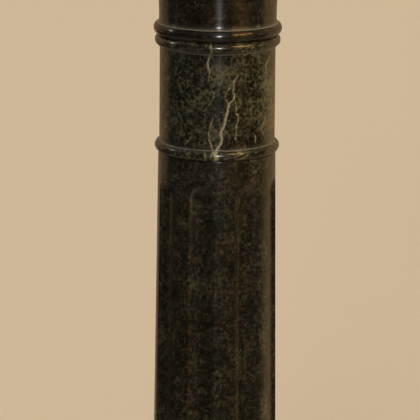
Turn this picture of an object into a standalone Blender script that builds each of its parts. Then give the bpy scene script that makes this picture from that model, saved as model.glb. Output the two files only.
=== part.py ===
"""A fluted marble column that stands by its own weight, as a pedestal does.

From the floor up it is a square plinth, a turned base, a tapering shaft with round-ended flutes, a drum with a ring
at each end, a capital whose neck flares from a ring of its own, and a square top slab. Each is one piece of marble,
seated flat on the piece below. Metres, +Z up, with the origin on the floor under the centre of the plinth.
"""

import math

import bmesh
import bpy
from mathutils import Vector

# The shaft: its ends, and the flutes cut into it.
SHAFT_HEIGHT = 0.620
SHAFT_TOP_RADIUS = 0.088
SHAFT_FOOT_RADIUS = 0.0965
FLUTE_COUNT = 8
FLUTE_SHARE = 0.56  # how much of the girth is flute, the rest being flat fillets
FLUTE_DEPTH = 0.0095  # below the shaft's surface, at the top of the shaft
TOP_BAND = 0.038  # plain shaft above the flutes
FOOT_BAND = 0.038  # plain shaft below the flutes

# The drum on the shaft: a plain wall between two rings.
DRUM_HEIGHT = 0.176
DRUM_INSET = 0.0015  # its foot stands in from the shaft's edge
DRUM_TAPER = 0.0005  # its top stands in from its foot
LOW_RING_HEIGHT = 0.0155
LOW_RING_PROJECTION = 0.0068
HIGH_RING_HEIGHT = 0.017
HIGH_RING_PROJECTION = 0.0073

# The capital: a ring, a neck that flares, a fillet, and a cushion under the slab.
NECK_STEP = 0.001  # the neck stands out from the drum's top
NECK_RING_HEIGHT = 0.018
NECK_RING_PROJECTION = 0.0082
NECK_HEIGHT = 0.078
NECK_FLARE = 0.008
CAP_FILLET_HEIGHT = 0.006
CAP_FILLET_PROJECTION = 0.003
CUSHION_HEIGHT = 0.032
CUSHION_PROJECTION = 0.028

# The base: a ring under the shaft, a hollow between two fillets, and a torus on the plinth.
BASE_LEDGE = 0.003  # its top stands out from the shaft's foot
BASE_RING_HEIGHT = 0.018
BASE_RING_PROJECTION = 0.0085
BASE_FILLET_HEIGHT = 0.004
HOLLOW_HEIGHT = 0.022
HOLLOW_SPREAD = 0.015
TORUS_HEIGHT = 0.036
TORUS_PROJECTION = 0.014

# The two square slabs.
PLINTH_HEIGHT = 0.055
PLINTH_MARGIN = 0.008  # from the torus to the plinth's face
SLAB_HEIGHT = 0.038
SLAB_MARGIN = 0.010  # from the cushion to the slab's face
SLAB_EDGE = 0.0025  # rounding of the slabs' edges

SEAT = 0.0003  # the joint between two pieces
SIDES = 48  # of a turned piece
CUTTER_SIDES = 36
ARC_STEPS = 7  # of a moulding
SHARP_EDGE = 32  # degrees, above which an edge isn't shaded smooth
WELD = 1e-6

# What follows from the sizes above.
DRUM_FOOT_RADIUS = SHAFT_TOP_RADIUS - DRUM_INSET
DRUM_TOP_RADIUS = DRUM_FOOT_RADIUS - DRUM_TAPER
NECK_RADIUS = DRUM_TOP_RADIUS + NECK_STEP
NECK_LIP_RADIUS = NECK_RADIUS + NECK_FLARE
CAP_FILLET_RADIUS = NECK_LIP_RADIUS + CAP_FILLET_PROJECTION
CUSHION_RADIUS = CAP_FILLET_RADIUS + CUSHION_PROJECTION
CAPITAL_HEIGHT = NECK_RING_HEIGHT + NECK_HEIGHT + CAP_FILLET_HEIGHT + CUSHION_HEIGHT
BASE_TOP_RADIUS = SHAFT_FOOT_RADIUS + BASE_LEDGE
LOW_FILLET_RADIUS = BASE_TOP_RADIUS + HOLLOW_SPREAD
TORUS_RADIUS = LOW_FILLET_RADIUS + TORUS_PROJECTION
BASE_HEIGHT = TORUS_HEIGHT + 2 * BASE_FILLET_HEIGHT + HOLLOW_HEIGHT + BASE_RING_HEIGHT


def clear_scene():
    for thing in list(bpy.data.objects):
        bpy.data.objects.remove(thing, do_unlink=True)


def marble(name, colour, roughness):
    """A polished stone of one colour."""
    material = bpy.data.materials.new(name)
    material.use_nodes = True
    shader = material.node_tree.nodes["Principled BSDF"]
    shader.inputs["Base Color"].default_value = (*colour, 1.0)
    shader.inputs["Roughness"].default_value = roughness
    shader.inputs["Metallic"].default_value = 0.0
    return material


def new_object(name, mesh, parent, location):
    """The bmesh as an object, with its faces pointing out."""
    bmesh.ops.recalc_face_normals(mesh, faces=mesh.faces)
    data = bpy.data.meshes.new(name)
    mesh.to_mesh(data)
    mesh.free()
    thing = bpy.data.objects.new(name, data)
    bpy.context.scene.collection.objects.link(thing)
    thing.parent = parent
    thing.location = location
    return thing


def stone_piece(name, mesh, material, parent, foot):
    """A piece of marble whose origin is at its own foot, on the column's axis at that height."""
    piece = new_object(name, mesh, parent, (0, 0, foot))
    piece.data.materials.append(material)
    piece.data.shade_smooth()
    piece.data.set_sharp_from_angle(angle=math.radians(SHARP_EDGE))
    return piece


def arc(centre, reach, start, end, steps=ARC_STEPS):
    """Points on an ellipse in the plane of radius and height, from one angle to another in degrees."""
    turns = [math.radians(start + (end - start) * step / steps) for step in range(steps + 1)]
    return [(centre[0] + reach[0] * math.cos(turn), centre[1] + reach[1] * math.sin(turn)) for turn in turns]


def ring(wall, projection, foot, height):
    """A round moulding on a wall of that radius: part of a circle that stands out by its projection."""
    half = height / 2
    bend = (projection**2 + half**2) / (2 * projection)
    reach = math.degrees(math.atan2(half, bend - projection))
    return arc((wall + projection - bend, foot + half), (bend, bend), -reach, reach)


def turned_mesh(outline, sides=SIDES):
    """A solid of revolution about Z, from points of radius and height that begin and end on the axis."""
    mesh = bmesh.new()
    points = [mesh.verts.new((radius, 0, height)) for radius, height in outline]
    edges = [mesh.edges.new(ends) for ends in zip(points, points[1:])]
    bmesh.ops.spin(
        mesh, geom=points + edges, axis=(0, 0, 1), cent=(0, 0, 0), angle=math.tau, steps=sides, use_merge=True
    )
    bmesh.ops.remove_doubles(mesh, verts=mesh.verts, dist=WELD)
    return mesh


def base_outline():
    """Torus, fillet, hollow, fillet and ring, from the plinth up."""
    low_fillet = TORUS_HEIGHT
    hollow_foot = low_fillet + BASE_FILLET_HEIGHT
    hollow_top = hollow_foot + HOLLOW_HEIGHT
    ring_foot = hollow_top + BASE_FILLET_HEIGHT
    return [
        (0, 0),
        *ring(LOW_FILLET_RADIUS, TORUS_PROJECTION, 0, TORUS_HEIGHT),
        *arc((LOW_FILLET_RADIUS, hollow_top), (HOLLOW_SPREAD, HOLLOW_HEIGHT), -90, -180),
        *ring(BASE_TOP_RADIUS, BASE_RING_PROJECTION, ring_foot, BASE_RING_HEIGHT),
        (0, BASE_HEIGHT),
    ]


def drum_outline():
    """A plain wall between two rings."""
    return [
        (0, 0),
        *ring(DRUM_FOOT_RADIUS, LOW_RING_PROJECTION, 0, LOW_RING_HEIGHT),
        *ring(DRUM_TOP_RADIUS, HIGH_RING_PROJECTION, DRUM_HEIGHT - HIGH_RING_HEIGHT, HIGH_RING_HEIGHT),
        (0, DRUM_HEIGHT),
    ]


def capital_outline():
    """Ring, flaring neck, fillet and cushion, from the drum up."""
    neck_top = NECK_RING_HEIGHT + NECK_HEIGHT
    cushion_foot = neck_top + CAP_FILLET_HEIGHT
    return [
        (0, 0),
        *ring(NECK_RADIUS, NECK_RING_PROJECTION, 0, NECK_RING_HEIGHT),
        *arc((NECK_LIP_RADIUS, NECK_RING_HEIGHT), (NECK_FLARE, NECK_HEIGHT), 180, 90)[1:],
        (CAP_FILLET_RADIUS, neck_top),
        (CAP_FILLET_RADIUS, cushion_foot),
        *arc((CAP_FILLET_RADIUS, CAPITAL_HEIGHT), (CUSHION_PROJECTION, CUSHION_HEIGHT), -90, 0)[1:],
        (0, CAPITAL_HEIGHT),
    ]


def slab_mesh(side, height):
    """A square slab with slightly rounded edges, on its underside."""
    mesh = bmesh.new()
    bmesh.ops.create_cube(mesh, size=1.0)
    bmesh.ops.scale(mesh, vec=(side, side, height), verts=mesh.verts)
    bmesh.ops.translate(mesh, vec=(0, 0, height / 2), verts=mesh.verts)
    bmesh.ops.bevel(
        mesh, geom=mesh.edges[:], offset=SLAB_EDGE, segments=2, profile=0.5, affect="EDGES", clamp_overlap=True
    )
    return mesh


def shaft_radius(height):
    """The tapering shaft's radius at a height above its foot."""
    return SHAFT_FOOT_RADIUS + (SHAFT_TOP_RADIUS - SHAFT_FOOT_RADIUS) * height / SHAFT_HEIGHT


def flute_section(radius):
    """The circle that hollows a flute where the shaft has that radius: its own radius, and its centre's distance out.

    A flute keeps the same share of the girth and the same part of the radius in depth, all the way down.
    """
    half_turn = math.pi / FLUTE_COUNT * FLUTE_SHARE
    half_width = radius * math.sin(half_turn)
    depth = FLUTE_DEPTH * radius / SHAFT_TOP_RADIUS
    chord = radius * math.cos(half_turn)
    sag = depth - (radius - chord)
    bend = (half_width**2 + sag**2) / (2 * sag)
    return bend, chord + bend - sag


def flute_end(edge, inward):
    """One round end of a flute whose tip is at that height; inward is 1 where the flute lies above, and -1 below."""
    radius = shaft_radius(edge)
    bend, distance = flute_section(radius)
    tip = math.sqrt(bend**2 - (distance - radius) ** 2)
    return bend, Vector((distance, 0, edge + inward * tip))


def flute_cutter(number, parent):
    """A long round-ended rod that leans with the shaft's side and stands half out of it."""
    low_bend, low = flute_end(FOOT_BAND, 1)
    high_bend, high = flute_end(SHAFT_HEIGHT - TOP_BAND, -1)
    length = (high - low).length
    steps = CUTTER_SIDES // 4
    outline = [*arc((0, 0), (low_bend, low_bend), -90, 0, steps), *arc((0, length), (high_bend, high_bend), 0, 90, steps)]
    cutter = new_object(f"flute_cutter_{number}", turned_mesh(outline, CUTTER_SIDES), parent, low)
    cutter.rotation_mode = "QUATERNION"
    cutter.rotation_quaternion = (high - low).to_track_quat("Z", "Y")
    cutter.hide_render = True
    cutter.display_type = "WIRE"
    return cutter


def fluted_shaft(material, parent, foot):
    """The tapering shaft, with a flute on the middle of each of the plinth's sides and corners."""
    outline = [(0, 0), (SHAFT_FOOT_RADIUS, 0), (SHAFT_TOP_RADIUS, SHAFT_HEIGHT), (0, SHAFT_HEIGHT)]
    shaft = stone_piece("fluted_shaft", turned_mesh(outline), material, parent, foot)
    cutters = bpy.data.collections.new("flute_cutters")
    for number in range(FLUTE_COUNT):
        turn = bpy.data.objects.new(f"flute_turn_{number}", None)
        bpy.context.scene.collection.objects.link(turn)
        turn.parent = shaft
        turn.rotation_euler.z = math.tau * number / FLUTE_COUNT - math.pi / 2
        cutters.objects.link(flute_cutter(number, turn))
    cut = shaft.modifiers.new("flutes", "BOOLEAN")
    cut.operation = "DIFFERENCE"
    cut.operand_type = "COLLECTION"
    cut.collection = cutters
    return shaft


def build():
    clear_scene()
    column = bpy.data.objects.new("column", None)
    bpy.context.scene.collection.objects.link(column)

    dark = marble("dark_marble", (0.020, 0.020, 0.014), 0.20)
    veined = marble("veined_marble", (0.045, 0.048, 0.028), 0.18)

    base_foot = PLINTH_HEIGHT + SEAT
    shaft_foot = base_foot + BASE_HEIGHT + SEAT
    drum_foot = shaft_foot + SHAFT_HEIGHT + SEAT
    capital_foot = drum_foot + DRUM_HEIGHT + SEAT
    slab_foot = capital_foot + CAPITAL_HEIGHT + SEAT

    stone_piece("plinth", slab_mesh(2 * (TORUS_RADIUS + PLINTH_MARGIN), PLINTH_HEIGHT), dark, column, 0)
    stone_piece("base", turned_mesh(base_outline()), dark, column, base_foot)
    fluted_shaft(dark, column, shaft_foot)
    stone_piece("drum", turned_mesh(drum_outline()), veined, column, drum_foot)
    stone_piece("capital", turned_mesh(capital_outline()), dark, column, capital_foot)
    stone_piece("top_slab", slab_mesh(2 * (CUSHION_RADIUS + SLAB_MARGIN), SLAB_HEIGHT), dark, column, slab_foot)


build()
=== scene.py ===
"""The looks of a fluted marble column: finely cut, polished pieces on a pale floor in soft studio light."""

import math
import random

import bmesh
import bpy
import numpy as np
from mathutils import Matrix, Vector


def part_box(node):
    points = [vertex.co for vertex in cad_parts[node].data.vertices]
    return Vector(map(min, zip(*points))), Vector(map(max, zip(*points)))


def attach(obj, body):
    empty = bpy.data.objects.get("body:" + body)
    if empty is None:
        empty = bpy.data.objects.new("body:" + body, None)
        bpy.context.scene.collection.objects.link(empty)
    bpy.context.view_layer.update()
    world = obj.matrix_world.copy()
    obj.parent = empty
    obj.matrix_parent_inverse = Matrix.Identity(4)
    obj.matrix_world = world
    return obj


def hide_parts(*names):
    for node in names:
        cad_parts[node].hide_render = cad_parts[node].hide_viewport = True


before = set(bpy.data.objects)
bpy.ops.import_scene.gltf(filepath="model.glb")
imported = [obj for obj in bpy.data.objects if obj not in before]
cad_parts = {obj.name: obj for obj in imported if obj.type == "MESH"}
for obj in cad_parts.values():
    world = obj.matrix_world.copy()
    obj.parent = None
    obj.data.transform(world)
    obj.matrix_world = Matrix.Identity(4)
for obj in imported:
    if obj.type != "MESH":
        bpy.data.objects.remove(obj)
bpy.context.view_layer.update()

# Sizes in metres, as the solids have them. Heights and outer sizes are read from the solids themselves.
SHAFT_TOP_RADIUS = 0.088
FLUTE_COUNT = 8
FLUTE_SHARE = 0.56  # how much of the girth is flute
FLUTE_DEPTH = 0.0095  # at the top of the shaft
TOP_BAND = 0.038  # plain shaft above the flutes
FOOT_BAND = 0.038
DRUM_FOOT_RADIUS = 0.0865
DRUM_TOP_RADIUS = 0.0860
LOW_RING_HEIGHT = 0.0155
LOW_RING_PROJECTION = 0.0068
HIGH_RING_HEIGHT = 0.017
HIGH_RING_PROJECTION = 0.0073
NECK_RADIUS = 0.0870
NECK_RING_HEIGHT = 0.018
NECK_RING_PROJECTION = 0.0082
NECK_FLARE = 0.008
CAP_FILLET_HEIGHT = 0.006
CAP_FILLET_PROJECTION = 0.003
CUSHION_HEIGHT = 0.032
BASE_TOP_RADIUS = 0.0995
BASE_RING_HEIGHT = 0.018
BASE_RING_PROJECTION = 0.0085
BASE_FILLET_HEIGHT = 0.004
HOLLOW_HEIGHT = 0.022
HOLLOW_SPREAD = 0.015
TORUS_HEIGHT = 0.036

# Fine forms that the solids leave out.
COVE = 0.0018  # hollow where a ring meets its wall
NECK_SWEEP = 0.0012  # how far the neck spreads at its foot
NECK_SWEEP_HEIGHT = 0.0052
EDGE = 0.0008  # rounding of a fillet's edge
SHAFT_EDGE = 0.0012  # rounding of the shaft's two ends
SLAB_EDGE = 0.0025
RIM_EASE = 0.0005  # rounding of the flutes' rims, by depth
RIM_REACH = 0.0010  # and along the surface to each side of the rim

# Fineness of the meshes.
SIDES = 256
ARC_STEPS = 20
NECK_STEPS = 80
COVE_STEPS = 8
SLAB_EDGE_STEPS = 5
ARCH_STEPS = 48
STRAIGHT_STEPS = 40
INNER_LOOPS = 8
RIM_LOOPS = 9
OUTER_LOOPS = 6
WELD = 1e-6
SHARP = 40  # degrees

# The camera, from the photograph.
LENS = 193.1
SENSOR = 36
CAMERA_AZIMUTH = 14.2  # round the column from its front, in degrees
CAMERA_DISTANCE = 3.302
CAMERA_HEIGHT = 1.505
CAMERA_PITCH = 14.276  # downwards
CAMERA_YAW = 0.167
CAMERA_ROLL = 0.413

# Colours, as linear light. Both ramps run from the stone's darkest spots to its palest.
GREEN_STONE = [
    (0.10, (0.0050, 0.0055, 0.0038)),
    (0.34, (0.0105, 0.0108, 0.0066)),
    (0.54, (0.0242, 0.0242, 0.0124)),
    (0.74, (0.0580, 0.0580, 0.0285)),
    (0.95, (0.1300, 0.1250, 0.0640)),
]
BROWN_STONE = [
    (0.10, (0.0066, 0.0050, 0.0038)),
    (0.34, (0.0145, 0.0105, 0.0070)),
    (0.54, (0.0330, 0.0245, 0.0140)),
    (0.74, (0.0700, 0.0530, 0.0290)),
    (0.95, (0.1400, 0.1140, 0.0640)),
]
THREAD = (0.115, 0.103, 0.060)
RUST = (0.048, 0.0200, 0.0100)
FLECK = (0.26, 0.24, 0.15)
VEIN_EDGE = (0.15, 0.130, 0.062)
VEIN_CORE = (0.44, 0.395, 0.235)
# Worn stone on the flutes' rims, lightened further as a painted highlight.
WORN_AND_HIGHLIT = (0.160, 0.135, 0.088)
# Pale dust in the creases. Its line there is also a painted highlight.
DUST_AND_SHEEN = (0.31, 0.28, 0.215)
FLOOR_CREAM = (0.80, 0.69, 0.53)
BACKDROP_GLOW = (0.60, 0.47, 0.32)
FLOOR_SIZE = 120

# Each piece's stone: seed, richness or how much of it the pale mesh takes, contrast, and brownness.
STONES = {
    "plinth": (11, -0.06, 1.6, 0.5),
    "base": (23, -0.06, 1.6, 0.5),
    "shaft": (37, -0.06, 1.8, 0.6),
    "drum": (41, -0.02, 3.0, 0.5),
    "capital": (59, -0.14, 1.6, 0.8),
    "slab": (67, -0.08, 1.6, 0.5),
}

# The stone's pattern. Of two scales, the larger one is finer.
CLOUD_SCALE, CLOUD_WEIGHT = 24, 0.40
MOTTLE_SCALE, MOTTLE_WEIGHT = 180, 0.48
SPOT_SCALE, SPOT_WEIGHT = 200, 0.36
GRIT_SCALE, GRIT_WEIGHT = 560, 0.70
STONE_MIDDLE = 1.0  # about what the four come to on average
PUSH_SCALE, PUSH_REACH = 150, 0.0060  # how the mottle and spots are pushed about
TINT_SCALE = 60  # of the change between olive and brown
RUST_SCALE, RUST_MOST = 95, 0.7
THREAD_SCALE, THREAD_HALF_WIDTH = 70, 0.016
THREAD_PUSH_SCALE, THREAD_PUSH_REACH = 60, 0.02
PATCH_SCALE = 40  # of the patches that have threads
FLECK_SCALE = 330
FLECK_CHOICE = (0.915, 0.94)  # a cell has a fleck where its random number is above these

# The polish.
SMEAR_SCALE = 34
SHINY, SMEARED = 0.24, 0.31  # roughness
MOTTLE_ROUGHNESS = 0.05
DUST_AND_SHEEN_ROUGHNESS = 0.3
STONE_IOR = 1.53
STONE_SPECULAR = 0.28
COAT, COAT_ROUGHNESS = 0.6, 0.13
GRAIN_STRENGTH, GRAIN_DEPTH = 0.35, 0.00012
SMEAR_SWELL, GRIT_SWELL = 8.0, 0.4  # how high they stand beside the mottle
LATHE_PULL = 0.9  # how far the marks of the lathe draw the capital's gloss out upwards
LATHE_SCALE, LATHE_FLATNESS = 130, 0.02  # the marks' fineness, and how little they change along the girth
LATHE_ROUGHNESS = (-0.08, 0.10)  # from the least to the most that they add
LATHE_MARKS = 4.0  # how deep they are beside the stone's grain

# Dust in the creases, with a painted highlight line along them, and wear on the flutes' rims, with a painted
# highlight.
DUST_AND_SHEEN_LINE = 0.0009  # half the width of a crease's line of dust, which is also a painted highlight
DUST_AND_SHEEN_REACH = 0.007  # how far its haze, dust with painted sheen, spreads upwards
DUST_AND_SHEEN_HAZE = 0.22
RIM_WEAR_AND_HIGHLIGHT = 0.60  # how much of the worn colour, with a painted highlight, the flutes' rims have at most
RIM_WEAR_AND_HIGHLIGHT_MIDDLE = 0.89  # where it is most, as a share of the flute's width
RIM_WEAR_AND_HIGHLIGHT_REACH = 0.17  # how far it spreads from there to each side, the same way
RIM_WEAR_AND_HIGHLIGHT_RISE = 0.05  # over what height the wear grows towards a flute's end
RIM_WEAR_AND_HIGHLIGHT_ALONG = 0.16  # what share of it a flute's straight sides have
RIM_WEAR_AND_HIGHLIGHT_RIGHT = 0.5  # what share of it the right sides have; they are the shadow side, with less painted highlight

# What the polish reflects: the colours of walls all round, by degrees from the camera to the right.
WALL_DARK = (0.022, 0.019, 0.016)
WALLS = [
    (0, WALL_DARK),
    (38, WALL_DARK),
    (43, (0.14, 0.070, 0.022)),
    (50, (0.14, 0.070, 0.022)),
    (56, WALL_DARK),
    (96, WALL_DARK),
    (110, (0.46, 0.305, 0.155)),
    (130, (0.40, 0.26, 0.13)),
    (150, (0.32, 0.20, 0.10)),
    (180, (0.20, 0.13, 0.07)),
    (210, (0.28, 0.187, 0.103)),
    (243, (0.32, 0.217, 0.120)),
    (252, WALL_DARK),
    (266, WALL_DARK),
    (272, (0.07, 0.065, 0.06)),
    (278, WALL_DARK),
]
# Lower down, the wall to the left is dark for most of its length.
LEFT_WALL = 200  # where it begins
LOW_WALLS = [
    *(stop for stop in WALLS if stop[0] < LEFT_WALL),
    (204, (0.32, 0.21, 0.12)),
    (217, WALL_DARK),
    (278, WALL_DARK),
]
LOW_START, LOW_END = -0.262, -0.222  # from low to high, as the sine of the angle upwards
GAP_BEARING = 3  # a pale upright gap in the dark before the column, in degrees round to the right
GAP_REACH = 4.5  # degrees to each side
GAP_LOW, GAP_HIGH = -0.225, -0.160  # where it fades out downwards, as the sine of the angle upwards
GAP_PALE = (0.79, 0.81, 0.79)
CEILING = (0.26, 0.23, 0.20)
CEILING_START, CEILING_END = 0.55, 0.85
GROUND = (0.22, 0.17, 0.12)
GROUND_START, GROUND_END = -0.45, -0.80
NARROW_BEAM = 30  # degrees, of the light that only the drum's low ring mirrors


def arc(centre, reach, start, end, steps=ARC_STEPS):
    """Points on an ellipse in the plane of radius and height, from one angle to another in degrees."""
    turns = [math.radians(start + (end - start) * step / steps) for step in range(steps + 1)]
    return [(centre[0] + reach[0] * math.cos(turn), centre[1] + reach[1] * math.sin(turn)) for turn in turns]


def ring(wall, projection, foot, height, cove_below=0.0, cove_above=0.0):
    """A round moulding on a wall, part of a circle, with a cove of a given radius where it meets the wall."""
    half = height / 2
    bend = (projection**2 + half**2) / (2 * projection)
    centre = (wall + projection - bend, foot + half)

    def met(cove):
        """How far up a cove meets the wall, and the angle on the ring where it begins."""
        across = wall + cove - centre[0]
        up = math.sqrt((bend + cove) ** 2 - across**2)
        return up, math.degrees(math.atan2(up, across))

    below, low_end = met(cove_below)
    above, high_end = met(cove_above)
    outline = arc(centre, (bend, bend), -low_end, high_end)
    if cove_below:
        hollow = (wall + cove_below, centre[1] - below)
        outline = arc(hollow, (cove_below, cove_below), 180, 180 - low_end, COVE_STEPS)[:-1] + outline
    if cove_above:
        hollow = (wall + cove_above, centre[1] + above)
        outline += arc(hollow, (cove_above, cove_above), 180 + high_end, 180, COVE_STEPS)[1:]
    return outline


def eased(before, corner, after, reach=EDGE, steps=4):
    """A rounded corner between two directions, as a few points."""
    corner = Vector(corner)
    start = corner + (Vector(before) - corner).normalized() * reach
    end = corner + (Vector(after) - corner).normalized() * reach
    shares = [step / steps for step in range(steps + 1)]
    return [tuple(start * (1 - s) ** 2 + corner * (2 * s * (1 - s)) + end * s**2) for s in shares]


def finished(name, mesh, node, material):
    """The bmesh as a polished piece that stands for a CAD node."""
    bmesh.ops.remove_doubles(mesh, verts=mesh.verts, dist=WELD)
    bmesh.ops.recalc_face_normals(mesh, faces=mesh.faces)
    data = bpy.data.meshes.new(name)
    mesh.to_mesh(data)
    mesh.free()
    data.materials.append(material)
    data.shade_smooth()
    data.set_sharp_from_angle(angle=math.radians(SHARP))
    piece = bpy.data.objects.new(name, data)
    bpy.context.scene.collection.objects.link(piece)
    normals = piece.modifiers.new("normals", "WEIGHTED_NORMAL")
    normals.keep_sharp = True
    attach(piece, "root")
    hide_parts(node)
    return piece


def turned(name, outline, node, material):
    """A piece turned about the column's axis, from points of radius and height above the node's foot."""
    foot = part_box(node)[0].z
    mesh = bmesh.new()
    points = [mesh.verts.new((radius, 0, foot + height)) for radius, height in outline]
    edges = [mesh.edges.new(ends) for ends in zip(points, points[1:])]
    bmesh.ops.spin(
        mesh, geom=points + edges, axis=(0, 0, 1), cent=(0, 0, 0), angle=math.tau, steps=SIDES, use_merge=True
    )
    return finished(name, mesh, node, material)


def slab(name, node, material):
    """A square slab with rounded edges, as large as its node."""
    low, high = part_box(node)
    mesh = bmesh.new()
    bmesh.ops.create_cube(mesh, size=1.0)
    bmesh.ops.scale(mesh, vec=high - low, verts=mesh.verts)
    bmesh.ops.translate(mesh, vec=(high + low) / 2, verts=mesh.verts)
    bmesh.ops.bevel(
        mesh, geom=mesh.edges[:], offset=SLAB_EDGE, segments=SLAB_EDGE_STEPS, profile=0.5, affect="EDGES"
    )
    return finished(name, mesh, node, material)


def node_height(node):
    low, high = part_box(node)
    return high.z - low.z


def node_radius(node):
    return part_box(node)[1].x


def base_outline():
    """Torus, fillet, hollow, fillet and ring, from the plinth up."""
    top = node_height("base")
    low_fillet = BASE_TOP_RADIUS + HOLLOW_SPREAD
    hollow_foot = TORUS_HEIGHT + BASE_FILLET_HEIGHT
    hollow_top = hollow_foot + HOLLOW_HEIGHT
    ring_foot = hollow_top + BASE_FILLET_HEIGHT
    torus = ring(low_fillet, node_radius("base") - low_fillet, 0, TORUS_HEIGHT, cove_above=COVE)
    hollow = arc((low_fillet, hollow_top), (HOLLOW_SPREAD, HOLLOW_HEIGHT), -90, -180)
    return [
        (0, 0),
        *torus,
        *eased((low_fillet, TORUS_HEIGHT), hollow[0], (low_fillet - HOLLOW_SPREAD, hollow_foot)),
        *hollow[1:],
        *ring(BASE_TOP_RADIUS, BASE_RING_PROJECTION, ring_foot, BASE_RING_HEIGHT, cove_below=COVE),
        (0, top),
    ]


def drum_outline():
    """A plain wall between two rings."""
    top = node_height("drum")
    high_ring_foot = top - HIGH_RING_HEIGHT
    return [
        (0, 0),
        *ring(DRUM_FOOT_RADIUS, LOW_RING_PROJECTION, 0, LOW_RING_HEIGHT, cove_above=COVE),
        *ring(DRUM_TOP_RADIUS, HIGH_RING_PROJECTION, high_ring_foot, HIGH_RING_HEIGHT, cove_below=COVE),
        (0, top),
    ]


def capital_outline():
    """Ring, flaring neck, fillet and cushion, from the drum up."""
    top = node_height("capital")
    lip = NECK_RADIUS + NECK_FLARE
    fillet = lip + CAP_FILLET_PROJECTION
    cushion_foot = top - CUSHION_HEIGHT
    neck_top = cushion_foot - CAP_FILLET_HEIGHT
    foot = NECK_RADIUS + NECK_SWEEP
    low_ring = ring(foot, NECK_RING_PROJECTION - NECK_SWEEP, 0, NECK_RING_HEIGHT, cove_above=EDGE)
    flare_foot = low_ring[-1][1]
    neck = []
    for radius, height in arc((lip, flare_foot), (NECK_FLARE, neck_top - flare_foot), 180, 90, NECK_STEPS):
        left = max(0, 1 - (height - flare_foot) / NECK_SWEEP_HEIGHT)
        neck.append((radius + NECK_SWEEP * left**2, height))
    cushion = arc((fillet, top), (node_radius("capital") - fillet, CUSHION_HEIGHT), -90, 0)
    return [
        (0, 0),
        *low_ring,
        *neck[1:],
        *eased((lip, neck_top), (fillet, neck_top), (fillet, cushion_foot)),
        *cushion,
        (0, top),
    ]


class Shaft:
    """The fluted shaft's surface, by angle from the middle of a flute and height above the shaft's foot."""

    def __init__(self):
        self.height = node_height("fluted_shaft")
        self.foot_radius = node_radius("fluted_shaft")
        self.pitch = math.tau / FLUTE_COUNT
        self.half_turn = self.pitch / 2 * FLUTE_SHARE
        self.low, low_section = self.end(FOOT_BAND, 1)
        self.high, high_section = self.end(self.height - TOP_BAND, -1)
        self.sections = (low_section, high_section)
        self.up = np.linspace(self.low, self.high, STRAIGHT_STEPS + 1)
        self.round_end = np.radians(np.linspace(0, 180, ARCH_STEPS + 1))[1:-1]

    def radius(self, height):
        return self.foot_radius + (SHAFT_TOP_RADIUS - self.foot_radius) * height / self.height

    def end(self, edge, inward):
        """Where a flute's straight part ends, and the hollow's bend, distance out and tip there."""
        radius = self.radius(edge)
        half_width = radius * math.sin(self.half_turn)
        chord = radius * math.cos(self.half_turn)
        sag = FLUTE_DEPTH * radius / SHAFT_TOP_RADIUS - (radius - chord)
        bend = (half_width**2 + sag**2) / (2 * sag)
        distance = chord + bend - sag
        tip = math.sqrt(bend**2 - (distance - radius) ** 2)
        return edge + inward * tip, (bend, distance, tip)

    def surface(self, turn, height):
        """The radius: the shaft's cone, or a flute's hollow where that is nearer, with its rim eased."""
        cone = self.radius(height)
        share = np.clip((height - self.low) / (self.high - self.low), 0, 1)
        bend, distance, _ = (a + (b - a) * share for a, b in zip(*self.sections))
        beyond = np.maximum(np.maximum(height - self.high, self.low - height), 0)
        inside = bend**2 - beyond**2 - (distance * np.sin(turn)) ** 2
        hollow = distance * np.cos(turn) - np.sqrt(np.maximum(inside, 0))
        hollow = np.where(inside > 0, np.minimum(hollow, cone + 2 * RIM_EASE), cone + 2 * RIM_EASE)
        share = np.clip(0.5 + (hollow - cone) / (2 * RIM_EASE), 0, 1)
        return hollow + (cone - hollow) * share - RIM_EASE * share * (1 - share)

    def loop(self, share, beyond):
        """A loop round a flute, as a share of its width plus a distance beyond it: angles and heights."""
        path = []
        (_, _, low_tip), (_, _, high_tip) = self.sections
        ends = ((1, self.high, high_tip, self.up), (-1, self.low, low_tip, self.up[::-1]))
        for side, end, tip, heights in ends:
            half = share * self.half_turn + beyond / self.radius(end)
            rise = share * tip + beyond
            path += [(side * (share * self.half_turn + beyond / self.radius(z)), z) for z in heights]
            for turn in self.round_end:
                path.append((side * half * math.cos(turn), end + side * rise * math.sin(turn)))
        return np.array(path)

    def cell(self):
        """The outline of a flute's share of the shaft, point for point with its loops: angles and heights."""
        path = []
        half = self.pitch / 2
        for side, end, heights in ((1, self.high, self.up), (-1, self.low, self.up[::-1])):
            rise = half * self.radius(end)
            path += [(side * half, z) for z in heights]
            for turn in self.round_end:
                most = max(abs(math.cos(turn)), math.sin(turn))
                path.append((side * half * math.cos(turn) / most, end + side * rise * math.sin(turn) / most))
        return np.array(path)


def add_grid(mesh, rows, close):
    """Faces between rows of points that go together one by one."""
    made = [[mesh.verts.new(point) for point in row] for row in rows]
    for low, high in zip(made, made[1:]):
        last = len(low) if close else len(low) - 1
        for step in range(last):
            after = (step + 1) % len(low)
            mesh.faces.new((low[step], low[after], high[after], high[step]))


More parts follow.
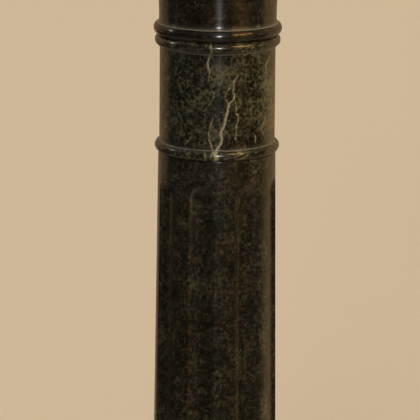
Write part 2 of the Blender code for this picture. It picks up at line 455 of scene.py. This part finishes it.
def fluted_shaft(material):
    """A tapering shaft with round-ended flutes, in loops that run round each flute and meet between two."""
    shaft = Shaft()
    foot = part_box("fluted_shaft")[0].z
    inner = 1 - RIM_REACH / (SHAFT_TOP_RADIUS * shaft.half_turn)
    loops = [shaft.loop(share, 0) for share in np.linspace(0, inner, INNER_LOOPS)[:-1]]
    loops += [shaft.loop(1, beyond) for beyond in np.linspace(-RIM_REACH, RIM_REACH, RIM_LOOPS)]
    edge = shaft.cell()
    loops += [loops[-1] + (edge - loops[-1]) * share for share in np.linspace(0, 1, OUTER_LOOPS + 1)[1:]]
    corner = ARCH_STEPS // 4
    top = slice(STRAIGHT_STEPS + corner, STRAIGHT_STEPS + ARCH_STEPS - corner + 1)
    half = len(edge) // 2
    low = slice(top.start + half, top.stop + half)

    mesh = bmesh.new()
    for number in range(FLUTE_COUNT):
        middle = shaft.pitch * number - math.pi / 2

        def placed(turns, heights, radii):
            turns = turns + middle
            return np.stack([radii * np.cos(turns), radii * np.sin(turns), foot + heights], 1)

        add_grid(mesh, [placed(*loop.T, shaft.surface(*loop.T)) for loop in loops], True)
        for part, end in ((top, shaft.height), (low, 0.0)):
            turns, heights = edge[part].T
            rim = shaft.radius(end)
            outline = [
                (shaft.radius(heights[0]), heights[0]),
                *eased((shaft.radius(heights[0]), heights[0]), (rim, end), (0, end), SHAFT_EDGE),
                (0, end),
            ]
            rows = [placed(turns, np.full(len(turns), z), np.full(len(turns), r)) for r, z in outline]
            add_grid(mesh, rows, False)
    return finished("fluted_marble_shaft", mesh, "fluted_shaft", material)


class Shading:
    """Short calls that add nodes to one tree. An input is a socket, or a plain number or colour."""

    def __init__(self, tree):
        self.tree = tree

    def add(self, kind, inputs=(), **settings):
        node = self.tree.nodes.new(kind)
        for name, value in settings.items():
            setattr(node, name, value)
        for name, value in dict(inputs).items():
            self.feed(node.inputs[name], value)
        return node

    def feed(self, socket, value):
        if isinstance(value, bpy.types.NodeSocket):
            self.tree.links.new(value, socket)
        elif socket.type == "RGBA" and len(value) == 3:
            socket.default_value = (*value, 1.0)
        else:
            socket.default_value = value

    def math(self, operation, *values):
        node = self.add("ShaderNodeMath", enumerate(values), operation=operation)
        return node.outputs[0]

    def smooth(self, value, low, high, to_low=0.0, to_high=1.0):
        """A smooth step of a value from one range to another."""
        node = self.add("ShaderNodeMapRange", interpolation_type="SMOOTHSTEP")
        for socket, given in zip(node.inputs, (value, low, high, to_low, to_high)):
            self.feed(socket, given)
        return node.outputs[0]

    def mix(self, share, first, second):
        node = self.add("ShaderNodeMix", {0: share, 6: first, 7: second}, data_type="RGBA")
        return node.outputs[2]

    def vector(self, operation, inputs, output=0):
        return self.add("ShaderNodeVectorMath", inputs, operation=operation).outputs[output]

    def noise(self, place, scale, seed, detail=4.0, roughness=0.55):
        inputs = {"Vector": place, "W": seed, "Scale": scale, "Detail": detail, "Roughness": roughness}
        return self.add("ShaderNodeTexNoise", inputs, noise_dimensions="4D").outputs["Fac"]

    def swing(self, noise, reach):
        """Noise made to swing both ways round nothing."""
        return self.math("MULTIPLY", self.math("SUBTRACT", noise, 0.5), reach)

    def cells(self, place, scale, seed):
        """Voronoi cells: the distance from each one's point, and its own random colour."""
        inputs = {"Vector": place, "W": seed, "Scale": scale}
        node = self.add("ShaderNodeTexVoronoi", inputs, voronoi_dimensions="4D")
        return node.outputs["Distance"], node.outputs["Color"]

    def warped(self, place, scale, reach, seed):
        """The place, pushed about by noise."""
        inputs = {"Vector": place, "W": seed, "Scale": scale, "Detail": 3.0}
        push = self.add("ShaderNodeTexNoise", inputs, noise_dimensions="4D").outputs["Color"]
        centred = self.vector("SUBTRACT", {0: push, 1: (0.5, 0.5, 0.5)})
        scaled = self.vector("SCALE", {0: centred, "Scale": reach})
        return self.vector("ADD", {0: place, 1: scaled})

    def bearing(self, place):
        """The angle of a place or direction round from the column's front, and its height."""
        x, y, z = self.add("ShaderNodeSeparateXYZ", {0: place}).outputs
        return self.math("ARCTAN2", x, self.math("MULTIPLY", y, -1.0)), z

    def ramp(self, share, stops):
        node = self.add("ShaderNodeValToRGB", {"Fac": share})
        marks = node.color_ramp.elements
        while len(marks) < len(stops):
            marks.new(1.0)
        for mark, (position, colour) in zip(marks, stops):
            mark.position = position
            mark.color = (*colour, 1.0)
        return node.outputs["Color"]

    def curve(self, share, points):
        """A line through points, each from 0 to 1 both ways."""
        node = self.add("ShaderNodeFloatCurve", {"Value": share})
        line = node.mapping.curves[0].points
        while len(line) < len(points):
            line.new(0.5, 0.5)
        for mark, place in zip(line, points):
            mark.location = place
            mark.handle_type = "VECTOR"
        node.mapping.update()
        return node.outputs["Value"]


# Veins on the drum: height above its foot in mm, angle from the column's front in degrees, width in mm.
VEIN_STEM = [
    (125, 34, 0.5), (120, 31, 1.0), (110, 30, 1.1), (102, 30, 1.6), (96, 31, 1.8), (91, 30, 1.9),
    (87, 26, 2.7), (80, 25, 2.6), (67, 23, 3.4), (54, 21, 3.2), (43, 18, 3.8), (36, 19, 3.4),
    (26, 18, 3.4), (20, 15, 4.0), (14, 13, 3.8), (6, 14, 5.6), (0, 12, 4.8),
]
VEIN_BRANCHES = [
    [(120, 31, 0.5), (114, 28, 0.7), (106, 25, 0.6), (98, 22, 0.6), (91, 23, 0.5), (86, 25, 0.4)],
    [(92, 31, 0.6), (85, 33, 0.9), (74, 33, 1.1), (67, 35, 1.3), (60, 35, 1.0), (51, 33, 0.9), (42, 33, 0.7),
     (33, 33, 1.2)],
    [(176, 7, 0.9), (173, 8, 1.1), (162, 9, 1.3), (160, 7, 1.0), (146, 5, 1.9), (141, 5, 2.0), (133, 7, 1.1),
     (120, 6, 0.6)],
    [(107, 8, -0.2), (102, 11, 0.1), (93, 10, 0.2), (86, 7, -0.2), (73, 0, -0.2), (66, -1, 0.1)],
    [(64, 10, 0.4), (50, 7, 0.6), (40, 6, 0.7), (31, 7, 1.1), (24, 9, 1.5), (17, 11, 2.0), (9, 9, 1.2)],
    [(38, -11, 0.4), (35, -12, 0.9), (30, -14, 1.0), (23, -18, 0.5)],
    [(156, 82, 0.5), (138, 70, 0.7), (120, 69, 0.6)],
    [(59, 70, 0.4), (41, 63, 0.5)],
    [(170, 49, 0.7), (166, 47, 0.8), (153, 39, 0.4)],
    [(34, 55, 0.9), (25, 55, 0.8)],
    [(12, 3, 1.2), (6, 4, 0.8), (2, 3, 1.4)],
    [(9, 44, 1.0), (5, 38, 1.6), (0, 32, 1.2)],
    [(12, 41, 0.8), (8, 31, 1.8), (6, 22, 1.2)],
    [(20, 42, 0.9), (15, 34, 0.7)],
]
# Clouds of paler stone, partly painted light: some stand where the warm light falls brighter on the right,
# along the highlight streak and where amber glints fall. Height above the piece's foot in mm, angle in
# degrees, reach in mm, and strength.
DRUM_CLOUDS_AND_PAINTED_LIGHT = [
    (130, 16, 26, 0.42), (152, 56, 22, 0.12), (35, 9, 24, 0.12), (100, 79, 40, 0.33), (50, 81, 40, 0.35),
    (8, 40, 20, 0.26), (172, 37, 15, 0.30), (90, -47, 30, -0.05), (60, 36, 26, -0.04),
]
# On the shaft's right these also paint the light that falls brighter there.
SHAFT_CLOUDS_AND_PAINTED_LIGHT = [
    (600, 22, 24, 0.14), (605, 54, 22, 0.16), (470, 67, 16, 0.16), (340, 67, 16, 0.26), (230, 67, 16, 0.24),
    (440, -7, 13, 0.14), (300, -5, 13, 0.12), (250, 34, 11, 0.12),
]
HIDDEN_VEINS = 9  # on the side that the photograph doesn't show
HIDDEN_FROM, HIDDEN_TO = 95, 330  # degrees
HIDDEN_WIDTHS = (0.7, 0.9, 1.2, 2.2)  # mm
HIDDEN_STEP = 11  # mm from one mark of a vein to the next
VEIN_FEATHER = 0.6  # mm
VEIN_MARGIN = 2.4  # mm of olive beside a vein
NO_WIDTH, MOST_WIDTH = -1.0, 6.0  # mm, what a curve holds past a vein's end and at the most
VEIN_END = 0.012  # over what share of the drum's height an end runs out
NEAR_EDGE = 0.02  # a vein that comes this near the drum's foot or top goes on to it
BRANCH_THINNING = 0.12  # mm off each side of every vein but the stem
VEIN_WANDER = 5.0  # mm, from side to side
VEIN_SHIVER = 4.6  # mm, the same at a finer scale
VEIN_SWELL = 5.4  # mm, how unevenly it widens


def hidden_veins(height):
    """Veins like the others, for the drum's far side."""
    chance = random.Random(7)
    veins = []
    for _ in range(HIDDEN_VEINS):
        place, turn = chance.uniform(0.35, 1.0) * height, chance.uniform(HIDDEN_FROM, HIDDEN_TO)
        widest, drift = chance.choice(HIDDEN_WIDTHS), chance.uniform(-0.25, 0.25)
        length = chance.uniform(0.3, 0.75) * height
        vein = []
        steps = max(4, round(length / HIDDEN_STEP))
        for step in range(steps + 1):
            swell = math.sin(math.pi * (step + 0.5) / (steps + 1))
            vein.append((place, turn, widest * (0.35 + 0.65 * swell) * chance.uniform(0.75, 1.2)))
            place -= length / steps
            turn += chance.uniform(-2.2, 2.2) + drift * length / steps
        veins.append([mark for mark in vein if mark[0] > 0])
    return veins


def vein_curves(shading, share, vein, top):
    """A vein's angle round the drum, as a share of the whole turn, and half its width in mm."""
    marks = sorted((place / top, turn % 360 / 360, width) for place, turn, width in vein)
    if marks[0][0] > NEAR_EDGE:
        marks.insert(0, (marks[0][0] - VEIN_END, marks[0][1], NO_WIDTH))
    if marks[-1][0] < 1 - NEAR_EDGE:
        marks.append((marks[-1][0] + VEIN_END, marks[-1][1], NO_WIDTH))
    most = MOST_WIDTH - NO_WIDTH
    path = shading.curve(share, [(along, turn) for along, turn, _ in marks])
    width = shading.curve(share, [(along, (width - NO_WIDTH) / most) for along, _, width in marks])
    thinning = 0 if vein is VEIN_STEM else BRANCH_THINNING
    return path, shading.math("MULTIPLY_ADD", width, most / 2, NO_WIDTH / 2 - thinning)


def vein_mask(shading, place, foot, height):
    """How much of the surface is vein: a broad share with its olive edge, and a narrow one for its core."""
    wander = shading.swing(shading.noise(place, 130, 3.1, 5.0, 0.7), VEIN_WANDER)
    shiver = shading.swing(shading.noise(place, 480, 5.3, 4.0, 0.75), VEIN_SHIVER)
    swell = shading.swing(shading.noise(place, 240, 8.2, 4.0, 0.7), VEIN_SWELL)
    front, z = shading.bearing(place)
    turn = shading.math("FRACT", shading.math("DIVIDE", front, math.tau))
    share = shading.math("DIVIDE", shading.math("SUBTRACT", z, foot), height)
    top = height * 1000
    girth = math.tau * DRUM_FOOT_RADIUS * 1000
    inside = -girth
    for vein in [VEIN_STEM, *VEIN_BRANCHES, *hidden_veins(top)]:
        path, half = vein_curves(shading, share, vein, top)
        aside = shading.math("MULTIPLY_ADD", shading.math("SUBTRACT", turn, path), girth, wander)
        aside = shading.math("ABSOLUTE", shading.math("ADD", aside, shiver))
        inside = shading.math("MAXIMUM", inside, shading.math("SUBTRACT", half, aside))
    uneven = shading.math("ADD", inside, swell)
    edge = shading.smooth(uneven, -VEIN_MARGIN, VEIN_FEATHER)
    core = shading.smooth(uneven, -VEIN_FEATHER, 0.6 * VEIN_FEATHER)
    return edge, core


def cloud_and_painted_light_mask(shading, place, foot, clouds_and_painted_light_here, tallness):
    """How much paler the stone is in its clouds, each so many times taller than wide; partly painted light.
    """
    clouds_and_painted_light = 0.0
    lowered = shading.vector("MULTIPLY", {0: place, 1: (1, 1, 1 / tallness)})
    for height, turn, reach, strength in clouds_and_painted_light_here:
        angle = math.radians(turn)
        level = (foot + height / 1000) / tallness
        middle = (DRUM_FOOT_RADIUS * math.sin(angle), -DRUM_FOOT_RADIUS * math.cos(angle), level)
        away = shading.vector("DISTANCE", {0: lowered, 1: middle}, "Value")
        cloud = shading.smooth(away, 0.2 * reach / 1000, reach / 1000, strength, 0.0)
        clouds_and_painted_light = shading.math("ADD", clouds_and_painted_light, cloud)
    return clouds_and_painted_light


def rim_wear_and_highlight_mask(shading, place, grit, mottle):
    """How worn the stone is along the flutes' rims, most of all round their ends, with a painted highlight
    there.
    """
    shaft = Shaft()
    half_height = (shaft.high - shaft.low) / 2
    (_, _, low_tip), (_, _, high_tip) = shaft.sections
    front, z = shading.bearing(place)
    level = shading.math("SUBTRACT", z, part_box("fluted_shaft")[0].z)
    turns = shading.math("MULTIPLY_ADD", front, 1 / shaft.pitch, FLUTE_COUNT + 0.5)
    across = shading.math("SUBTRACT", shading.math("FRACT", turns), 0.5)
    above = shading.math("DIVIDE", shading.math("SUBTRACT", level, shaft.high), high_tip)
    below = shading.math("DIVIDE", shading.math("SUBTRACT", shaft.low, level), low_tip)
    beyond = shading.math("MAXIMUM", shading.math("MAXIMUM", above, below), 0.0)
    out = shading.math("DIVIDE", across, FLUTE_SHARE / 2)
    squares = shading.math("MULTIPLY_ADD", out, out, shading.math("MULTIPLY", beyond, beyond))
    away = shading.math("SUBTRACT", shading.math("SQRT", squares), RIM_WEAR_AND_HIGHLIGHT_MIDDLE)
    wear_and_highlight = shading.smooth(shading.math("ABSOLUTE", away), 0.0, RIM_WEAR_AND_HIGHLIGHT_REACH, RIM_WEAR_AND_HIGHLIGHT, 0.0)
    from_middle = shading.math("ABSOLUTE", shading.math("SUBTRACT", level, shaft.low + half_height))
    ends = shading.smooth(from_middle, half_height - RIM_WEAR_AND_HIGHLIGHT_RISE, half_height, RIM_WEAR_AND_HIGHLIGHT_ALONG, 1.0)
    sides = shading.smooth(across, -0.2, 0.2, 1.0, RIM_WEAR_AND_HIGHLIGHT_RIGHT)
    broken = (shading.smooth(grit, 0.3, 0.6, 0.4, 1.0), shading.smooth(mottle, 0.4, 0.6, 0.4, 1.0))
    for share in (ends, sides, *broken):
        wear_and_highlight = shading.math("MULTIPLY", wear_and_highlight, share)
    return wear_and_highlight


def dust_and_sheen_mask(shading, place, creases, grit):
    """How much dust and painted highlight lie on the surface: a fine line along each crease, that fades
    upwards.
    """
    z = shading.add("ShaderNodeSeparateXYZ", {0: place}).outputs[2]
    dust_and_sheen = 0.0
    for crease, strength in creases:
        above = shading.math("SUBTRACT", z, crease)
        line = shading.smooth(shading.math("ABSOLUTE", above), 0.3 * DUST_AND_SHEEN_LINE, DUST_AND_SHEEN_LINE, strength, 0.0)
        haze = shading.smooth(above, 0.0, DUST_AND_SHEEN_REACH, DUST_AND_SHEEN_HAZE * strength, 0.0)
        haze = shading.math("MULTIPLY", haze, shading.math("GREATER_THAN", above, 0.0))
        dust_and_sheen = shading.math("MAXIMUM", dust_and_sheen, shading.math("MAXIMUM", line, haze))
    return shading.math("MULTIPLY", dust_and_sheen, shading.smooth(grit, 0.2, 0.6, 0.6, 1.0))


def mesh_of_stone(shading, place, pushed, seed, richness, contrast, clouds_and_painted_light):
    """The pattern of dark spots in a paler mesh: how pale it is, the mottle in it, and the grit."""
    cloud = shading.noise(place, CLOUD_SCALE, seed + 1, 3.0, 0.6)
    mottle = shading.noise(pushed, MOTTLE_SCALE, seed + 2, 5.0, 0.65)
    spot, _ = shading.cells(pushed, SPOT_SCALE, seed + 3)
    grit = shading.noise(place, GRIT_SCALE, seed + 4, 3.0, 0.75)
    total = shading.math("MULTIPLY_ADD", spot, SPOT_WEIGHT, shading.math("MULTIPLY", mottle, MOTTLE_WEIGHT))
    total = shading.math("MULTIPLY_ADD", cloud, CLOUD_WEIGHT, total)
    total = shading.math("MULTIPLY_ADD", grit, GRIT_WEIGHT, total)
    above = shading.math("SUBTRACT", total, STONE_MIDDLE)
    paleness = shading.math("MULTIPLY_ADD", above, contrast, 0.5 + richness)
    # Clouds of paler stone, partly painted light.
    if clouds_and_painted_light:
        paleness = shading.math("ADD", paleness, cloud_and_painted_light_mask(shading, place, *clouds_and_painted_light))
    return paleness, mottle, grit


def stone_colour(shading, place, pushed, seed, brownness, paleness, lively):
    """Olive and brown, with rust, fine threads and pale flecks. Lively stone has more threads."""
    tint = shading.noise(pushed, TINT_SCALE, seed + 5, 4.0, 0.6)
    brown = shading.smooth(tint, 0.62 - 0.3 * brownness, 0.78 - 0.3 * brownness)
    body = shading.mix(brown, shading.ramp(paleness, GREEN_STONE), shading.ramp(paleness, BROWN_STONE))

    rust = shading.noise(pushed, RUST_SCALE, seed + 6, 4.0, 0.65)
    rusty = shading.smooth(rust, 0.56, 0.70, 0.0, RUST_MOST)
    body = shading.mix(rusty, body, shading.mix(paleness, body, RUST))

    bent = shading.warped(place, THREAD_PUSH_SCALE, THREAD_PUSH_REACH, seed + 7)
    thread = shading.math("SUBTRACT", shading.noise(bent, THREAD_SCALE, seed + 8, 5.0, 0.7), 0.5)
    thread = shading.math("ABSOLUTE", thread)
    thread = shading.smooth(thread, 0.0, THREAD_HALF_WIDTH, 0.85 if lively else 0.6, 0.0)
    patch = shading.smooth(shading.noise(place, PATCH_SCALE, seed + 9, 3.0), 0.40 if lively else 0.46, 0.60)
    body = shading.mix(shading.math("MULTIPLY", thread, patch), body, THREAD)

    near, chance = shading.cells(place, FLECK_SCALE, seed + 10)
    chosen = shading.smooth(shading.add("ShaderNodeSeparateColor", {0: chance}).outputs[0], *FLECK_CHOICE)
    flecks = shading.math("MULTIPLY", shading.smooth(near, 0.16, 0.30, 0.9, 0.0), chosen)
    return shading.mix(flecks, body, FLECK)


def polish(shading, shader, place, seed, mottle, grit, dust_and_sheen, turned_on_lathe):
    """The gloss, the wax over it and the fine unevenness of the surface."""
    smear = shading.noise(place, SMEAR_SCALE, seed + 11, 5.0, 0.65)
    gloss = shading.smooth(smear, 0.3, 0.72, SHINY, SMEARED)
    gloss = shading.math("MULTIPLY_ADD", mottle, MOTTLE_ROUGHNESS, gloss)
    gloss = shading.math("MULTIPLY_ADD", dust_and_sheen, DUST_AND_SHEEN_ROUGHNESS, gloss)
    grain = shading.math("MULTIPLY_ADD", grit, GRIT_SWELL, mottle)
    wave = shading.math("MULTIPLY_ADD", smear, SMEAR_SWELL, grain)
    if turned_on_lathe:
        level = shading.vector("MULTIPLY", {0: place, 1: (LATHE_FLATNESS, LATHE_FLATNESS, 1.0)})
        marks = shading.noise(level, LATHE_SCALE, seed + 12, 5.0, 0.7)
        gloss = shading.math("ADD", gloss, shading.smooth(marks, 0.38, 0.62, *LATHE_ROUGHNESS))
        wave = shading.math("MULTIPLY_ADD", marks, LATHE_MARKS * LATHE_PULL, wave)
        shader.inputs["Anisotropic"].default_value = LATHE_PULL
        shader.inputs["Anisotropic Rotation"].default_value = 0.25
        girth = shading.add("ShaderNodeTangent", direction_type="RADIAL", axis="Z")
        shading.feed(shader.inputs["Tangent"], girth.outputs[0])
    shading.feed(shader.inputs["Roughness"], gloss)
    shader.inputs["IOR"].default_value = STONE_IOR
    shader.inputs["Specular IOR Level"].default_value = STONE_SPECULAR
    shader.inputs["Coat Weight"].default_value = COAT
    shader.inputs["Coat Roughness"].default_value = COAT_ROUGHNESS
    relief = {"Height": wave, "Strength": GRAIN_STRENGTH, "Distance": GRAIN_DEPTH}
    shading.feed(shader.inputs["Normal"], shading.add("ShaderNodeBump", relief).outputs[0])


def marble(stone, creases=(), clouds_and_painted_light=None, veins=None, turned_on_lathe=False, rims=False):
    """Polished serpentine marble, as the piece of that name has it.

    Creases are heights where pale dust and old wax have settled, each with its strength, and where a painted
    highlight line runs. Clouds, where given, is the piece's foot, its list of clouds, partly painted light,
    and how tall they are beside their width. Veins, where given, is the drum's foot and height. Rims adds the
    wear along the flutes, with a painted highlight.
    """
    seed, richness, contrast, brownness = STONES[stone]
    material = bpy.data.materials.new(f"{stone}_marble")
    material.use_nodes = True
    shading = Shading(material.node_tree)
    shader = material.node_tree.nodes["Principled BSDF"]
    place = shading.add("ShaderNodeTexCoord").outputs["Object"]
    pushed = shading.warped(place, PUSH_SCALE, PUSH_REACH, seed + 0.3)

    paleness, mottle, grit = mesh_of_stone(shading, place, pushed, seed, richness, contrast, clouds_and_painted_light)
    body = stone_colour(shading, place, pushed, seed, brownness, paleness, bool(veins))
    if veins:
        edge, core = vein_mask(shading, place, *veins)
        edge = shading.math("MULTIPLY", edge, shading.smooth(mottle, 0.3, 0.7, 0.35, 0.9))
        core = shading.math("MULTIPLY", core, shading.smooth(grit, 0.32, 0.6, 0.5, 1.0))
        body = shading.mix(edge, body, VEIN_EDGE)
        body = shading.mix(core, body, VEIN_CORE)
    # Wear on the flutes' rims, with a painted highlight that is weaker on their shadow side.
    if rims:
        body = shading.mix(rim_wear_and_highlight_mask(shading, place, grit, mottle), body, WORN_AND_HIGHLIT)
    # Dust in the creases, with a painted highlight line and haze.
    dust_and_sheen = dust_and_sheen_mask(shading, place, creases, grit)
    body = shading.mix(dust_and_sheen, body, DUST_AND_SHEEN)
    shading.feed(shader.inputs["Base Color"], body)
    polish(shading, shader, place, seed, mottle, grit, dust_and_sheen, turned_on_lathe)
    return material


def plain_floor():
    """A wide pale floor under the column."""
    bpy.ops.mesh.primitive_plane_add(size=FLOOR_SIZE, location=(0, 0, 0))
    floor = bpy.context.object
    floor.name = "floor"
    material = bpy.data.materials.new("pale_floor")
    material.use_nodes = True
    shader = material.node_tree.nodes["Principled BSDF"]
    shader.inputs["Base Color"].default_value = (*FLOOR_CREAM, 1.0)
    shader.inputs["Roughness"].default_value = 0.9
    shader.inputs["Specular IOR Level"].default_value = 0.1
    floor.data.materials.append(material)
    floor.visible_glossy = False
    floor.visible_diffuse = False


def around(azimuth, distance, height):
    """A place round the column, by its azimuth from the camera's side in degrees, positive to the right."""
    turn = math.radians(CAMERA_AZIMUTH + azimuth)
    return Vector((distance * math.sin(turn), -distance * math.cos(turn), height))


def softbox(name, place, size, power, colour, aim="drum"):
    """A small light for the polish to mirror, aimed at the top of a node. The camera doesn't see it."""
    light = bpy.data.lights.new(name, "AREA")
    light.shape = "ELLIPSE" if size[0] == size[1] else "RECTANGLE"
    light.size, light.size_y = size
    light.energy = power
    light.color = colour
    lamp = bpy.data.objects.new(name, light)
    bpy.context.scene.collection.objects.link(lamp)
    lamp.location = place
    lamp.rotation_mode = "QUATERNION"
    lamp.rotation_quaternion = (place - Vector((0, 0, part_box(aim)[1].z))).to_track_quat("Z", "Y")
    lamp.visible_camera = False
    lamp.visible_diffuse = False
    return light


def far_light(name, azimuth, elevation, spread, strength, colour):
    """A broad light from far away, which the polish doesn't mirror. Its angles are in degrees."""
    light = bpy.data.lights.new(name, "SUN")
    light.energy = strength
    light.angle = math.radians(spread)
    light.color = colour
    lamp = bpy.data.objects.new(name, light)
    bpy.context.scene.collection.objects.link(lamp)
    level = math.radians(elevation)
    toward = around(azimuth, math.cos(level), math.sin(level))
    lamp.rotation_mode = "QUATERNION"
    lamp.rotation_quaternion = toward.to_track_quat("Z", "Y")
    lamp.visible_glossy = False


def studio_light():
    """Small lights near the column, for glints on its rings, and three broad ones far away."""
    softbox("key", around(2.6, 1.6, 1.24), (0.17, 0.17), 8.0, (0.94, 0.97, 1.0))
    softbox("amber", around(42, 0.3, 1.09), (0.18, 0.011), 0.36, (1.0, 0.52, 0.12))
    low_place, low_colour = around(43, 0.3, 1.00), (1.0, 0.70, 0.25)
    low_amber = softbox("low_amber", low_place, (0.17, 0.011), 0.020, low_colour, aim="fluted_shaft")
    low_amber.spread = math.radians(NARROW_BEAM)
    softbox("small", around(-101, 2.0, 2.05), (0.12, 0.12), 2.8, (1.0, 0.98, 0.95))
    softbox("pale", around(81, 0.6, 1.09), (0.08, 0.03), 0.065, (1.0, 0.93, 0.84))
    far_light("front", -17, 16, 22, 0.72, (1.0, 0.96, 0.88))
    far_light("warm", 66, 13, 25, 1.32, (1.0, 0.80, 0.52))
    far_light("overhead", 0, 90, 100, 1.3, (1.0, 0.95, 0.87))


def studio_world():
    """Walls for the polish to mirror, pale behind the column and dark before it. The camera sees cream."""
    world = bpy.data.worlds.new("studio")
    bpy.context.scene.world = world
    world.use_nodes = True
    shading = Shading(world.node_tree)
    sight = shading.add("ShaderNodeTexCoord").outputs["Generated"]
    bearing, z = shading.bearing(sight)
    bearing = shading.math("SUBTRACT", bearing, math.radians(CAMERA_AZIMUTH))
    bearing = shading.math("FRACT", shading.math("DIVIDE", bearing, math.tau))
    high = shading.ramp(bearing, [(degrees / 360, colour) for degrees, colour in WALLS])
    low = shading.ramp(bearing, [(degrees / 360, colour) for degrees, colour in LOW_WALLS])
    walls = shading.mix(shading.smooth(z, LOW_START, LOW_END), low, high)
    aside = shading.math("ABSOLUTE", shading.math("SUBTRACT", bearing, GAP_BEARING / 360))
    gap = shading.smooth(aside, 0.0, GAP_REACH / 360, 1.0, 0.0)
    gap = shading.math("MULTIPLY", gap, shading.smooth(z, GAP_LOW, GAP_HIGH))
    walls = shading.mix(gap, walls, GAP_PALE)
    walls = shading.mix(shading.smooth(z, CEILING_START, CEILING_END), walls, CEILING)
    walls = shading.mix(shading.smooth(z, GROUND_END, GROUND_START, 1.0, 0.0), walls, GROUND)
    seen = shading.add("ShaderNodeLightPath").outputs["Is Camera Ray"]
    background = world.node_tree.nodes["Background"]
    shading.feed(background.inputs["Color"], shading.mix(seen, walls, BACKDROP_GLOW))


def photograph_camera():
    """The photograph's point of view: a long lens from a little above, aimed at the column's upper half."""
    data = bpy.data.cameras.new("camera")
    data.lens = LENS
    data.sensor_width = SENSOR
    data.clip_end = 200
    camera = bpy.data.objects.new("camera", data)
    bpy.context.scene.collection.objects.link(camera)
    camera.matrix_world = (
        Matrix.Translation(around(0, CAMERA_DISTANCE, CAMERA_HEIGHT))
        @ Matrix.Rotation(math.radians(CAMERA_AZIMUTH + CAMERA_YAW), 4, "Z")
        @ Matrix.Rotation(math.radians(90 - CAMERA_PITCH), 4, "X")
        @ Matrix.Rotation(math.radians(CAMERA_ROLL), 4, "Z")
    )
    bpy.context.scene.camera = camera


def build():
    shaft_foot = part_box("fluted_shaft")[0].z
    drum_foot, drum_top = (corner.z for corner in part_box("drum"))
    capital_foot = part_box("capital")[0].z
    drum_creases = [
        (drum_foot + LOW_RING_HEIGHT + COVE / 3, 0.5),
        (drum_top - HIGH_RING_HEIGHT - COVE / 3, 0.65),
    ]
    neck_creases = [(capital_foot + NECK_RING_HEIGHT - COVE / 6, 1.0)]
    shaft_stone = marble("shaft", clouds_and_painted_light=(shaft_foot, SHAFT_CLOUDS_AND_PAINTED_LIGHT, 3), rims=True)
    drum_stone = marble("drum", drum_creases, (drum_foot, DRUM_CLOUDS_AND_PAINTED_LIGHT, 1), (drum_foot, drum_top - drum_foot))
    capital_stone = marble("capital", neck_creases, turned_on_lathe=True)

    slab("marble_plinth", "plinth", marble("plinth"))
    turned("turned_base", base_outline(), "base", marble("base"))
    fluted_shaft(shaft_stone)
    turned("veined_drum", drum_outline(), "drum", drum_stone)
    turned("turned_capital", capital_outline(), "capital", capital_stone)
    slab("marble_top_slab", "top_slab", marble("slab"))

    plain_floor()
    studio_light()
    studio_world()
    photograph_camera()
    bpy.context.scene.view_settings.view_transform = "Standard"


build()
